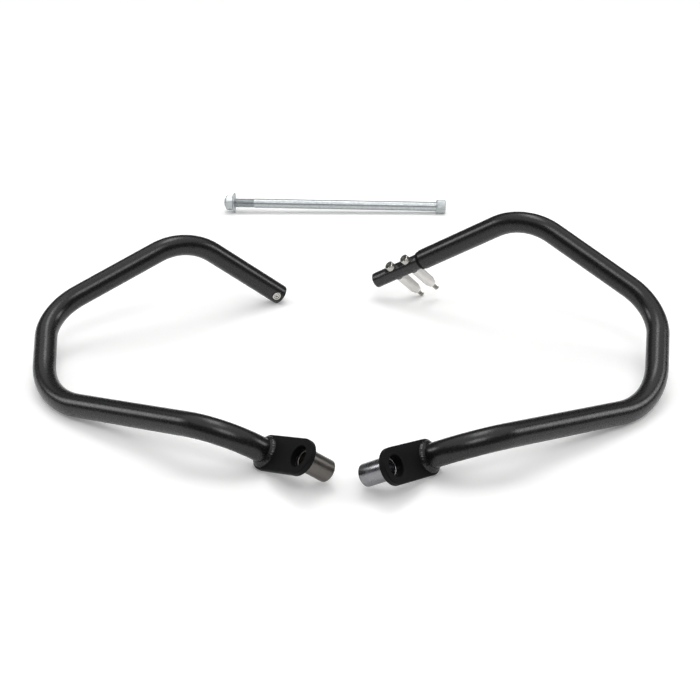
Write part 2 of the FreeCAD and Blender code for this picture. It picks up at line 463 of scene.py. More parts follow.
def add_node(tree: bpy.types.NodeTree, kind: str, sockets: dict | None = None,
             **settings: object) -> bpy.types.Node:
    """Add one shader node.

    Args:
        tree: node tree that takes it.
        kind: type of the node, without ShaderNode before it.
        sockets: inputs by name or number. An output socket is linked, any other value is set.
        settings: properties of the node itself.
    Returns:
        The node.
    """
    node = tree.nodes.new("ShaderNode" + kind)
    for name, value in settings.items():
        setattr(node, name, value)
    for key, value in (sockets or {}).items():
        if isinstance(value, bpy.types.NodeSocket):
            tree.links.new(value, node.inputs[key])
        else:
            node.inputs[key].default_value = value
    return node


def new_material(name: str) -> tuple[bpy.types.Material, bpy.types.NodeTree, bpy.types.NodeSocket]:
    """Start a material.

    Args:
        name: its name.
    Returns:
        The material, its empty node tree, and the socket that gives places in metres.
    """
    material = bpy.data.materials.new(name)
    material.use_nodes = True
    tree = material.node_tree
    tree.nodes.clear()
    return material, tree, add_node(tree, "TexCoord").outputs["Object"]


@dataclass(frozen=True)
class PowderCoat:
    """Baked powder paint: deep black with the faint orange peel of melted powder, and a satin shine."""
    name: str
    colour: str
    worn_colour: str
    roughness: float
    shine: float
    peel: float
    peel_height: float
    peel_detail: float = 1.5
    cloud: float = 38.0
    cloud_detail: float = 2.0
    edge_from: float = 0.52
    edge_to: float = 0.62
    uneven: float = 0.045
    ior: float = 1.5

    def material(self) -> bpy.types.Material:
        """Make the material.

        Returns:
            The material.
        """
        material, tree, place = new_material(self.name)
        cloud = add_node(tree, "TexNoise", {
            "Vector": place, "Scale": 1.0 / (self.cloud * MM), "Detail": self.cloud_detail}).outputs["Fac"]
        peel = add_node(tree, "TexNoise", {
            "Vector": place, "Scale": 1.0 / (self.peel * MM), "Detail": self.peel_detail}).outputs["Fac"]
        # The coat is thinner and a little paler where it was baked over an edge
        edge = add_node(tree, "NewGeometry").outputs["Pointiness"]
        thin = add_node(tree, "MapRange", {
            "Value": edge, "From Min": self.edge_from, "From Max": self.edge_to})
        worn = add_node(tree, "Math", {0: cloud, 1: thin.outputs[0]}, operation="MAXIMUM")
        tint = {0: worn.outputs[0], 6: linear(self.colour), 7: linear(self.worn_colour)}
        colour = add_node(tree, "Mix", tint, data_type="RGBA")
        rough = add_node(tree, "MapRange", {
            "Value": peel, "From Min": NOISE_LOW, "From Max": NOISE_HIGH,
            "To Min": self.roughness - self.uneven, "To Max": self.roughness + self.uneven})
        bump = add_node(tree, "Bump", {"Height": peel, "Distance": self.peel_height * MM})
        shader = add_node(tree, "BsdfPrincipled", {
            "Base Color": colour.outputs[2], "Roughness": rough.outputs[0], "Normal": bump.outputs[0],
            "IOR": self.ior, "Specular IOR Level": self.shine})
        add_node(tree, "OutputMaterial", {"Surface": shader.outputs[0]})
        return material


@dataclass(frozen=True)
class TurnedMetal:
    """Metal that was turned on a lathe: fine rings round its line that spread the shine along it."""
    name: str
    colour: str
    dull_colour: str
    roughness: float
    rings: float
    ring_height: float
    mottle: float
    mottle_height: float
    mottle_detail: float = 2.5
    ring_wander: float = 0.8
    ring_detail: float = 2.0
    ring_detail_scale: float = 0.4
    uneven: float = 0.055

    def material(self, spindle: Spindle) -> bpy.types.Material:
        """Make the material for pieces on one line.

        Args:
            spindle: centre line that the rings go round.
        Returns:
            The material.
        """
        material, tree, place = new_material(self.name)
        turn = spindle.turn().inverted()
        own = add_node(tree, "Mapping", {
            "Vector": place, "Location": turn @ -spindle.base, "Rotation": turn.to_euler()}).outputs[0]
        rings = add_node(tree, "TexWave", {
            "Vector": own, "Scale": BAND_WIDTH / (self.rings * MM), "Distortion": self.ring_wander,
            "Detail": self.ring_detail, "Detail Scale": self.ring_detail_scale},
            bands_direction="Z").outputs["Fac"]
        mottle = add_node(tree, "TexNoise", {
            "Vector": own, "Scale": 1.0 / (self.mottle * MM), "Detail": self.mottle_detail}).outputs["Fac"]
        tint = {0: mottle, 6: linear(self.colour), 7: linear(self.dull_colour)}
        colour = add_node(tree, "Mix", tint, data_type="RGBA")
        rough = add_node(tree, "MapRange", {
            "Value": mottle, "From Min": NOISE_LOW, "From Max": NOISE_HIGH,
            "To Min": self.roughness - self.uneven, "To Max": self.roughness + self.uneven})
        lumps = add_node(tree, "Bump", {"Height": mottle, "Distance": self.mottle_height * MM})
        bump = add_node(tree, "Bump", {
            "Height": rings, "Distance": self.ring_height * MM, "Normal": lumps.outputs[0]})
        shader = add_node(tree, "BsdfPrincipled", {
            "Base Color": colour.outputs[2], "Metallic": 1.0, "Roughness": rough.outputs[0],
            "Normal": bump.outputs[0]})
        add_node(tree, "OutputMaterial", {"Surface": shader.outputs[0]})
        return material


# Steel tube in satin powder coat: a soft long highlight with slightly uneven edges. Real orange peel is
# about 1 mm wide, and is drawn wider so that it shows.
TUBE_COAT = PowderCoat(
    "powder coated steel, satin black", colour="#0e0e0f", worn_colour="#131314",
    roughness=0.28, shine=0.45, peel=2.0, peel_height=0.008)
# Sheet steel in fine matte powder coat: nearly no highlight, dry look
PLATE_COAT = PowderCoat(
    "powder coated steel, matte black", colour="#0b0b0c", worn_colour="#111112",
    roughness=0.58, shine=0.10, peel=1.2, peel_height=0.03)
# Weld bead under the same coat, which lies thicker there and shines a little more
BEAD_COAT = PowderCoat(
    "powder coated weld bead, satin black", colour="#101011", worn_colour="#161617",
    roughness=0.26, shine=0.4, peel=1.6, peel_height=0.012)
# Drawn bar in thin black coat, greyer than the tube
BAR_COAT = PowderCoat(
    "electrocoated steel bar, satin black", colour="#171718", worn_colour="#202021",
    roughness=0.27, shine=0.5, peel=1.4, peel_height=0.012)
# Machined spacer with black zinc: dark brownish grey metal
DARK_SPACER = TurnedMetal(
    "black zinc plated steel, turned", colour="#5d5a57", dull_colour="#6c6965",
    roughness=0.34, rings=0.7, ring_height=0.006, mottle=9.0, mottle_height=0.0)
# The other spacer of the pair, made a paler grey: painted light, standing for the brighter light that
# falls on it
PAINTED_LIGHT_SPACER = TurnedMetal(
    "zinc plated steel, turned, paler with painted light", colour="#7c7c7f", dull_colour="#929295",
    roughness=0.26, rings=0.7, ring_height=0.003, mottle=9.0, mottle_height=0.0)
# Cold headed stainless screws: bright, with a warm grey
STAINLESS = TurnedMetal(
    "stainless steel, cold headed", colour="#c9c7c2", dull_colour="#b2b0ac",
    roughness=0.22, rings=0.5, ring_height=0.003, mottle=2.5, mottle_height=0.006)
# Turned and tumbled aluminium: pale and soft, with fine rings
ALUMINIUM = TurnedMetal(
    "aluminium, turned and tumbled", colour="#e6e4e1", dull_colour="#dbd9d6",
    roughness=0.46, rings=0.6, ring_height=0.006, mottle=5.0, mottle_height=0.0)
# Zinc plated bolt steel: bluish silver with a crystal-like mottle
ZINC = TurnedMetal(
    "zinc plated steel, bright", colour="#c6cacb", dull_colour="#a2a8aa",
    roughness=0.42, rings=1.1, ring_height=0.004, mottle=3.2, mottle_height=0.012)


def hand_over(piece: Piece, material: bpy.types.Material, node: str, slot: str) -> None:
    """Dress a finished piece and let it stand for a CAD node.

    Args:
        piece: the finished piece.
        material: its material.
        node: CAD node that it replaces.
        slot: material slot of the record, not used.
    """
    piece.data.materials.clear()
    piece.data.materials.append(material)
    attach(piece, "root")
    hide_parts(node)
    log.info("%s stands for %s: %d faces", piece.name, node, len(piece.data.polygons))


# The bars

@dataclass(frozen=True)
class WeldBead:
    """Weld bead round a tube, with the scale-like ripples of a hand weld.

    The line is the tube's, from the face that the bead stands on. The leg is the bead's reach along both.
    """
    name: str
    line: Spindle
    radius: float
    leg: float
    sunk: float = 0.1
    overlap: float = 0.3
    clear: float = 0.02
    curve_steps: int = 9
    swell: float = 0.112
    ripple_spacing: float = 2.4
    ripple_points: int = 8
    ripple_height: float = 0.12
    ripple_bow: float = 0.45
    ripple_skew: float = 1.4
    rise_along: float = 0.6
    rise_out: float = 0.7
    fade: float = 0.08
    drift: Waves = ((0.4, 2, 1.0), (0.25, 5, 0.0))
    unsteady: Waves = ((0.25, 3, 0.7), (0.2, 7, 2.1))

    def ripples(self) -> int:
        """Number of ripples round the bead."""
        return round(math.tau * (self.radius + self.leg / 2) / self.ripple_spacing)

    def sway(self, waves: Waves, angle: float) -> float:
        """Sum of waves at an angle round the bead."""
        return sum(height * math.sin(count * angle + start) for height, count, start in waves)

    def rippled(self, point: Vector) -> Vector:
        """Where the ripples and the unsteady hand leave a point.

        Args:
            point: a point of the plain bead.
        Returns:
            Its new place.
        """
        along, out, angle = self.line.around(point)
        if along < 0 or out < self.radius + self.clear:
            return point
        share = min(1.0, along / self.leg)
        bow = self.ripple_bow * math.sin(math.pi * share)
        phase = (self.ripples() * angle / math.tau + bow + self.sway(self.drift, angle)) % 1.0
        scale = -0.5 * math.cos(math.tau * phase ** self.ripple_skew)
        full = math.sin(math.pi * (self.fade + (1.0 - 2.0 * self.fade) * share))
        rise = self.ripple_height * (scale + self.sway(self.unsteady, angle)) * full
        return self.line.place(along + rise * self.rise_along, out + rise * self.rise_out, angle)

    def build(self) -> Piece:
        """Make the bead.

        Returns:
            The bead.
        """
        inside = self.radius - self.overlap
        profile = [(-self.sunk, inside), (-self.sunk, self.radius + self.leg)]
        for step in range(self.curve_steps + 1):
            share = step / self.curve_steps
            swell = self.swell * self.leg * math.sin(math.pi * share)
            profile.append((self.leg * share + swell, self.radius + self.leg * (1 - share) + swell))
        profile += [(self.leg, inside), (-self.sunk, inside)]
        piece = lathe(self.name, self.line, profile, self.ripples() * self.ripple_points, True)
        reshape(piece, self.rippled)
        choose(piece)
        bpy.ops.object.shade_smooth()
        return piece


@dataclass(frozen=True)
class Bend:
    """One bend of the tube, with its places in metres."""
    first: Vector
    last: Vector
    centre: Vector
    axis: Vector
    turn: float


@dataclass
class GuardBar:
    """One bent bar with its lower mount."""
    side: Side
    tube_radius: float = 11.0
    tube_wall: float = 2.3
    tube_sides: int = 64
    tube_edge: float = 0.6
    tube_edge_angle: float = 60.0
    guard_height: float = 321.5
    guard_bulge: float = 158.0
    guard_spread: float = 121.0
    upper_end: float = 95.0
    foot_run: float = 45.0
    foot_straight: float = 3.7
    lower_bend_rise: float = 0.4323
    lower_bend_tuck: float = 3.0
    upper_bend_rise: float = 0.8103
    upper_bend_tuck: float = 9.5
    shoulder_spread: float = 37.0
    shoulder_bulge: float = 21.0
    bend_radii: tuple[float, float, float] = (91.0, 56.0, 63.0)
    bend_step: float = 2.5
    bend_flattening: float = 0.03
    bend_reach: float = 1.1
    plate_radius: float = 16.0
    plate_thick: float = 6.0
    plate_reach: float = 50.0
    plate_angle: float = 225.0
    plate_sides: int = 96
    plate_edge: float = 0.8
    hole_sides: int = 72
    recess_radius: float = 9.5
    recess_edge: float = 0.25
    drill_past: float = 5.0
    spacer_radius: float = 10.0
    spacer_bore: float = 6.5
    spacer_length: float = 27.0
    spacer_edge: float = 0.7
    foot_weld_leg: float = 3.6
    spacer_weld_leg: float = 3.0
    axes: Axes = field(init=False)

    def __post_init__(self) -> None:
        """Read the bar's own directions from the two mounts on its spacer."""
        bore, outward = mount(self.name("bolt_bore"))
        face = mount(self.name("frame_face"))[0]
        inboard = -outward
        bulge = (face - bore - inboard * (self.spacer_length / 2 * MM)).normalized()
        top = inboard.cross(bulge)
        if self.side is Side.RIGHT:
            top = -top
        middle = Axes(bore, inboard, bulge, top)
        foot = bore - inboard * ((self.plate_thick + self.spacer_length / 2) * MM)
        foot = foot - middle.across(self.plate_angle) * (self.plate_reach * MM)
        self.axes = Axes(foot, inboard, bulge, top)

    def name(self, what: str) -> str:
        """Name of one of this bar's nodes."""
        return self.side.value + "_" + what

    def foot_line(self) -> Spindle:
        """Line of the tube's foot, from the plate's outer face outwards."""
        return Spindle(self.axes.origin, -self.axes.inboard, self.axes.bulge)

    def hole_line(self) -> Spindle:
        """Line through the recess and the spacer, from the plate's outer face inboard."""
        way = self.axes.across(self.plate_angle)
        return Spindle(self.axes.origin + way * (self.plate_reach * MM), self.axes.inboard, way)

    def corners(self) -> list[Vector]:
        """Corners of the tube's centre line.

        Returns:
            The corners from the tube's foot to its upper end.
        """
        low = self.lower_bend_rise * self.guard_height
        high = self.upper_bend_rise * self.guard_height
        return [
            self.axes.at(0, 0, 0),
            self.axes.at(-self.foot_run, 0, 0),
            self.axes.at(self.lower_bend_tuck - self.guard_spread, self.guard_bulge, low),
            self.axes.at(-self.guard_spread, self.guard_bulge - self.upper_bend_tuck, high),
            self.axes.at(-self.shoulder_spread, self.shoulder_bulge, self.guard_height),
            self.axes.at(self.upper_end, self.shoulder_bulge, self.guard_height),
        ]

    def bends(self, corners: list[Vector]) -> list[Bend]:
        """The bends between those corners.

        Args:
            corners: corners of the tube's centre line.
        Returns:
            The bends in order from the foot.
        """
        found = []
        for place in range(1, len(corners) - 1):
            come = (corners[place] - corners[place - 1]).normalized()
            go = (corners[place + 1] - corners[place]).normalized()
            turn = come.angle(go)
            cut_back = (self.foot_run - self.foot_straight) * MM
            if place > 1:
                cut_back = self.bend_radii[place - 2] * MM * math.tan(turn / 2)
            radius = cut_back / math.tan(turn / 2)
            inward = (go - come).normalized()
            centre = corners[place] + inward * math.hypot(radius, cut_back)
            first = corners[place] - come * cut_back
            last = corners[place] + go * cut_back
            found.append(Bend(first, last, centre, come.cross(go).normalized(), turn))
        return found

    def tube(self) -> Piece:
        """Bend the tube: a ring that is drawn along each run and spun round each bend.

        Returns:
            The tube with its wall.
        """
        corners = self.corners()
        bends = self.bends(corners)
        foot = self.foot_line()
        piece = ring(self.name("tube"), foot, 0.0, self.tube_radius, self.tube_sides, False)
        bpy.ops.object.mode_set(mode="EDIT")
        here = corners[0]
        for bend in bends:
            bpy.ops.mesh.extrude_region_move(TRANSFORM_OT_translate={"value": bend.first - here})
            steps = math.ceil(math.degrees(bend.turn) / self.bend_step)
            bpy.ops.mesh.spin(steps=steps, angle=-bend.turn, center=bend.centre, axis=bend.axis)
            here = bend.last
        bpy.ops.mesh.extrude_region_move(TRANSFORM_OT_translate={"value": corners[-1] - here})
        close_up()
        bpy.ops.object.mode_set(mode="OBJECT")
        # An open tube may come out of this with its faces turned inwards
        face = min(piece.data.polygons, key=lambda polygon: (polygon.center - corners[0]).length)
        if face.normal.dot(face.center - foot.at(foot.around(face.center)[0])) < 0:
            bpy.ops.object.mode_set(mode="EDIT")
            bpy.ops.mesh.flip_normals()
            bpy.ops.object.mode_set(mode="OBJECT")
        self.flatten_bends(piece, bends)
        wall = piece.modifiers.new("wall", "SOLIDIFY")
        wall.thickness = self.tube_wall * MM
        wall.offset = -1.0
        apply_last(piece)
        return piece

    def flatten_bends(self, piece: Piece, bends: list[Bend]) -> None:
        """Press the outside of each bend a little flat, as bending does.

        Args:
            piece: the tube before it gets its wall.
            bends: its bends.
        """
        def move(point: Vector) -> Vector:
            """Where bending leaves a point.

            Args:
                point: a point of the tube.
            Returns:
                Its new place.
            """
            for bend in bends:
                spoke = bend.first - bend.centre
                arm = point - bend.centre
                arm = arm - bend.axis * arm.dot(bend.axis)
                ahead = bend.axis.cross(spoke).normalized()
                angle = math.atan2(arm.dot(ahead), arm.dot(spoke.normalized()))
                height = abs((point - bend.centre).dot(bend.axis))
                out = arm.length - spoke.length
                near = math.hypot(out, height) < self.bend_reach * self.tube_radius * MM
                if near and 0 < angle < bend.turn and out > 0:
                    share = math.sin(math.pi * angle / bend.turn) ** 2
                    return point - arm.normalized() * (out * self.bend_flattening * share)
            return point

        reshape(piece, move)

    def plate(self) -> Piece:
        """Round-ended plate: a disc whose half is drawn out, thickened and bored.

        Returns:
            The plate.
        """
        axes = self.axes
        way = axes.across(self.plate_angle)
        half_step = math.pi / self.plate_sides
        first = way * math.cos(half_step) + axes.inboard.cross(way) * math.sin(half_step)
        line = Spindle(axes.origin, axes.inboard, first)
        piece = ring(self.name("plate"), line, 0.0, self.plate_radius, self.plate_sides, True)
        pick(piece, lambda point: (point - axes.origin).dot(way) > 0)
        bpy.ops.transform.translate(value=way * (self.plate_reach * MM))
        bpy.ops.mesh.select_all(action="SELECT")
        thick = axes.inboard * (self.plate_thick * MM)
        bpy.ops.mesh.extrude_region_move(TRANSFORM_OT_translate={"value": thick})
        close_up()
        bpy.ops.object.mode_set(mode="OBJECT")
        soften(piece, self.plate_edge, 1)
        drill = [(-self.drill_past, self.recess_radius),
                 (self.plate_thick + self.drill_past, self.recess_radius)]
        cut(piece, lathe("recess_tool", self.hole_line(), drill, self.hole_sides))
        soften(piece, self.recess_edge, 2)
        return piece

    def spacer(self) -> Piece:
        """Spacer tube behind the plate.

        Returns:
            The spacer.
        """
        far = self.plate_thick + self.spacer_length
        profile = pipe(self.plate_thick, far, self.spacer_bore, self.spacer_radius)
        piece = lathe(self.name("spacer"), self.hole_line(), profile, self.hole_sides, True)
        soften(piece, self.spacer_edge)
        return piece

    def build(self) -> None:
        """Make the bar's tube, plate, spacer and beads, and dress them."""
        tube = self.tube()
        self.drill(tube)
        soften(tube, self.tube_edge, angle=self.tube_edge_angle)
        hand_over(tube, TUBE_COAT.material(), self.name("guard_tube"), "powder_coat")
        hand_over(self.plate(), PLATE_COAT.material(), self.name("mount_plate"), "plate_black")
        line = self.hole_line()
        # The right spacer's paler colour is painted light
        finish = DARK_SPACER if self.side is Side.LEFT else PAINTED_LIGHT_SPACER
        slot = "spacer_dark" if self.side is Side.LEFT else "spacer_bright"
        hand_over(self.spacer(), finish.material(line), self.name("frame_spacer"), slot)
        coat = BEAD_COAT.material()
        bead = WeldBead(self.name("foot_bead"), self.foot_line(), self.tube_radius, self.foot_weld_leg)
        hand_over(bead.build(), coat, self.name("tube_weld"), "weld_black")
        back = Spindle(line.at(self.plate_thick), line.axis, line.toward)
        bead = WeldBead(self.name("spacer_bead"), back, self.spacer_radius, self.spacer_weld_leg)
        hand_over(bead.build(), coat, self.name("spacer_weld"), "weld_black")
        self.upper_mount()

    def drill(self, tube: Piece) -> None:
        """Drill the tube, where a bar needs it."""

    def upper_mount(self) -> None:
        """Make what the bar carries at its upper end."""


@dataclass
class ClampBar(GuardBar):
    """The left bar, whose open end takes the mounting bar and holds it with a set screw."""
    clamp_from_end: float = 8.0
    clamp_angle: float = 262.0
    clamp_sides: int = 48
    bush_radius: float = 4.5
    bush_stand: float = 0.4
    bush_edge: float = 0.4
    set_screw_radius: float = 3.0
    set_screw_gap: float = 0.05
    set_screw_sunk: float = 0.5
    set_screw_slope: float = 0.35
    set_screw_edge: float = 0.12
    socket_flats: float = 3.0
    socket_depth: float = 1.4
    drill_gap: float = 0.25
    countersink: float = 0.7

    def clamp_line(self) -> Spindle:
        """Line of the set screw, from the tube's centre line out."""
        base = self.axes.at(self.upper_end - self.clamp_from_end, self.shoulder_bulge, self.guard_height)
        return Spindle(base, self.axes.across(self.clamp_angle), self.axes.inboard)

    def drill(self, tube: Piece) -> None:
        """Drill and countersink the hole for the bush.

        Args:
            tube: the bar's tube.
        """
        radius = self.bush_radius + self.drill_gap
        wide = radius + 2 * self.countersink
        rim = self.tube_radius - self.countersink
        profile = [(self.tube_radius / 2, radius), (rim, radius),
                   (self.tube_radius + self.countersink, wide)]
        cut(tube, lathe("bush_tool", self.clamp_line(), profile, self.clamp_sides))

    def upper_mount(self) -> None:
        """Make the threaded bush in the tube's wall and the set screw in it."""
        line = self.clamp_line()
        low = self.tube_radius - self.tube_wall
        top = self.tube_radius + self.bush_stand
        steel = STAINLESS.material(line)
        profile = pipe(low, top, self.set_screw_radius, self.bush_radius)
        bush = lathe("left_bush", line, profile, self.clamp_sides, True)
        soften(bush, self.bush_edge)
        hand_over(bush, steel, "left_clamp_bush", "stainless")
        top = top - self.set_screw_sunk
        radius = self.set_screw_radius - self.set_screw_gap
        slope = self.set_screw_slope
        profile = [(low, radius), (top - slope, radius), (top, radius - slope)]
        screw = lathe("left_set_screw", line, profile, self.clamp_sides)
        cut(screw, hex_socket(line, top, self.socket_flats, -self.socket_depth))
        soften(screw, self.set_screw_edge, 2)
        hand_over(screw, steel, "left_clamp_screw", "stainless")


@dataclass
class PinnedBar(GuardBar):
    """The right bar, which carries the mounting bar with two screws and their sleeves."""
    bar_radius: float = 8.5
    bar_free: float = 66.0
    bar_hidden: float = 22.0
    bar_sides: int = 72
    bar_edge: float = 0.4
    collar_radius: float = 10.2
    collar_length: float = 4.0
    collar_sides: int = 64
    collar_edge: float = 1.1
    outboard_place: float = 17.0
    inboard_place: float = 38.0
    screw_lean: float = 9.0
    screw_sides: int = 72
    screw_radius: float = 3.0
    screw_pitch: float = 1.0
    screw_reach: float = 48.0
    thread_hidden: float = 2.0
    point_edge: float = 1.2
    head_radius: float = 5.0
    head_height: float = 6.0
    head_crown: Crown = ((0.0, 0.7), (0.25, 0.25), (0.6, 0.0))
    head_foot: float = 0.4
    ridge_from_top: float = 0.9
    ridge_from_seat: float = 0.8
    ridge_depth: float = 0.3
    socket_flats: float = 5.0
    socket_depth: float = 3.0
    seat_depth: float = 1.0
    flat_past_screw: float = 9.0
    sleeve_radius: float = 6.0
    sleeve_length: float = 27.0
    sleeve_sides: int = 64
    sleeve_gap: float = 0.05
    sleeve_edge: float = 0.3
    taper_length: float = 1.2
    taper_depth: float = 0.5
    nose_radius: float = 4.4
    nose_draft: float = 0.8
    nose_length: float = 4.0

    def end_line(self) -> Spindle:
        """Line of the mounting bar, from the tube's end inboard."""
        base = self.axes.at(self.upper_end, self.shoulder_bulge, self.guard_height)
        return Spindle(base, self.axes.inboard, self.axes.bulge)

    def collar(self) -> Piece:
        """Stepped collar that closes the tube round the bar.

        Returns:
            The collar.
        """
        profile = pipe(0.0, self.collar_length, self.bar_radius, self.collar_radius)
        piece = lathe("right_collar", self.end_line(), profile, self.collar_sides, True)
        soften(piece, self.collar_edge, 4)
        return piece

    def mounting_bar(self) -> Piece:
        """Round bar with a flat on both sides for the screws to seat on.

        Returns:
            The mounting bar.
        """
        line = self.end_line()
        profile = [(-self.bar_hidden, self.bar_radius), (self.bar_free, self.bar_radius)]
        piece = lathe("right_bar", line, profile, self.bar_sides)
        length = self.inboard_place - self.outboard_place + 2 * self.flat_past_screw
        way = self.axes.across(self.screw_lean)
        corner = self.bar_radius * math.sqrt(2.0)
        for side in (-1.0, 1.0):
            out = way * (side * (2 * self.bar_radius - self.seat_depth) * MM)
            base = line.at(self.outboard_place - self.flat_past_screw) + out
            mill = Spindle(base, line.axis, (way + line.axis.cross(way)).normalized())
            cut(piece, lathe("flat_tool", mill, [(0.0, corner), (length, corner)], SQUARE))
        soften(piece, self.bar_edge)
        return piece

    def screw(self, name: str, line: Spindle) -> Piece:
        """Socket screw with a grip-ridged head and a thread at its point.

        Args:
            name: name of the piece.
            line: line of the screw, from the bar's centre line towards its point.
        Returns:
            The screw.
        """
        under = self.seat_depth - self.bar_radius
        top = under - self.head_height
        head = self.head_radius
        ridge_rings = (top + self.ridge_from_top, under - self.ridge_from_seat)
        profile = [(top + down, head - inward) for down, inward in self.head_crown]
        profile += [(station, head) for station in ridge_rings]
        profile += [(under - self.head_foot, head), (under, head - self.head_foot),
                    (under, self.screw_radius)]
        start = -under + self.sleeve_length + self.nose_length - self.thread_hidden
        end = self.screw_reach - self.point_edge
        thread = Thread(start, end, self.screw_radius, self.screw_pitch)
        profile += thread.stations()
        profile.append((self.screw_reach, self.screw_radius - self.point_edge))
        piece = lathe(name, line, profile, self.screw_sides)
        knurl(piece, line, ridge_rings, head, self.screw_sides, self.ridge_depth)
        thread.press(piece, line)
        cut(piece, hex_socket(line, top, self.socket_flats, self.socket_depth))
        soften(piece, 0.0)
        return piece

    def sleeve(self, name: str, line: Spindle) -> Piece:
        """Pale sleeve with a narrower, drafted nose.

        Args:
            name: name of the piece.
            line: line of the screw in it.
        Returns:
            The sleeve.
        """
        near = self.bar_radius - self.seat_depth
        far = near + self.sleeve_length
        tip = far + self.nose_length
        bore = self.screw_radius + self.sleeve_gap
        profile = [(near, bore), (near, self.sleeve_radius), (far - self.taper_length, self.sleeve_radius),
                   (far, self.sleeve_radius - self.taper_depth), (far, self.nose_radius + self.nose_draft),
                   (tip, self.nose_radius), (tip, bore), (near, bore)]
        piece = lathe(name, line, profile, self.sleeve_sides, True)
        soften(piece, self.sleeve_edge)
        return piece

    def upper_mount(self) -> None:
        """Make the collar, the mounting bar, and two screws with their sleeves."""
        hand_over(self.collar(), PLATE_COAT.material(), "right_bar_collar", "plate_black")
        hand_over(self.mounting_bar(), BAR_COAT.material(), "right_mount_bar", "mount_bar_black")
        way = self.axes.across(self.screw_lean)
        line = Spindle(self.end_line().at(self.outboard_place), way, self.axes.inboard)
        step = self.axes.inboard * ((self.inboard_place - self.outboard_place) * MM)
        makers = (("screw", self.screw, STAINLESS, "stainless"),
                  ("sleeve", self.sleeve, ALUMINIUM, "sleeve_aluminium"))
        for what, make, finish, slot in makers:
            piece = make("right_" + what + "_outboard", line)
            twin = copy_moved(piece, "right_" + what + "_inboard", step)
            metal = finish.material(line)
            hand_over(piece, metal, "right_mount_" + what + "_outboard", slot)
            hand_over(twin, metal, "right_mount_" + what + "_inboard", slot)


# The bolt

